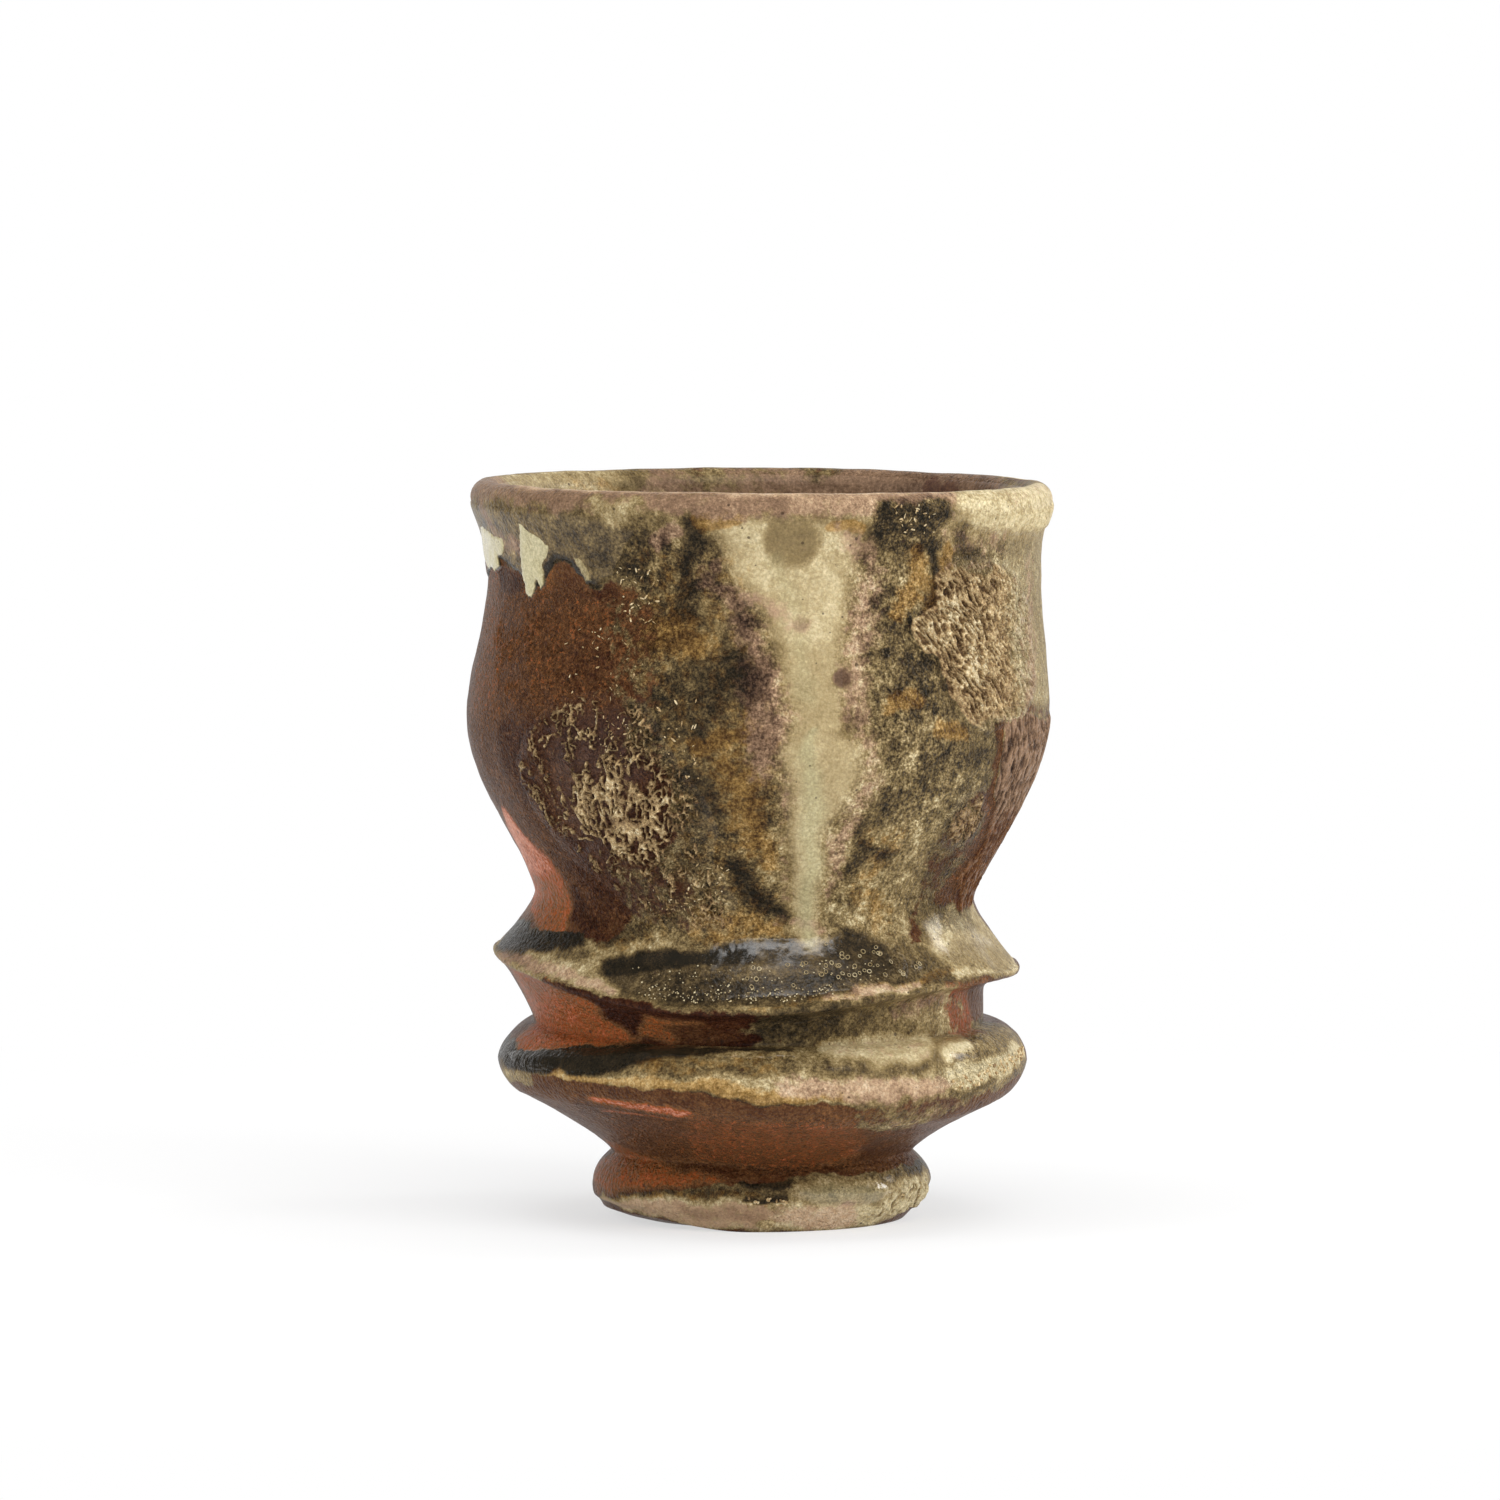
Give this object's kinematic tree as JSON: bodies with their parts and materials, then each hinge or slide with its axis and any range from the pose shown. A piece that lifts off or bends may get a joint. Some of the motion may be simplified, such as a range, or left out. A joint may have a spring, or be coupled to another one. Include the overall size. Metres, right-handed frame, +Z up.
{
  "type": "drinking cup",
  "caption": "Handle-less stoneware drinking cup with a flared lip, round belly, dipping flanges at the waist and a solid disc foot.",
  "frame": {"origin": "middle of the foot's flat base, on the surface that the cup stands on", "axes": "+Z up through the cup, -Y towards the viewer, +X to the viewer's right"},
  "size_m": [0.082, 0.0814, 0.1027],
  "materials": {
    "fired_clay": "satin",
    "liner_glass": "gloss",
    "shoulder_glass": "gloss",
    "celadon_glass": "gloss",
    "melted_ash": "satin",
    "crusted_ash": "matte",
    "pooled_glass": "gloss",
    "wadding": "matte"
  },
  "bodies": {
    "root": {"stoneware_body": "fired_clay", "liner_glaze": "liner_glass", "shoulder_glaze": "shoulder_glass", "celadon_drip_left": "celadon_glass", "celadon_drip_edge": "celadon_glass", "celadon_drip_middle": "celadon_glass", "centre_ash_run": "melted_ash", "crust_patch_left": "crusted_ash", "crust_patch_right": "crusted_ash", "crust_patch_lower_right": "crusted_ash", "rim_ash_band": "crusted_ash", "foot_ash_edge": "crusted_ash", "upper_flange_pool": "pooled_glass", "lower_flange_pool": "pooled_glass", "foot_pool": "pooled_glass", "wad_crumb": "wadding"}
  },
  "joints": []
}
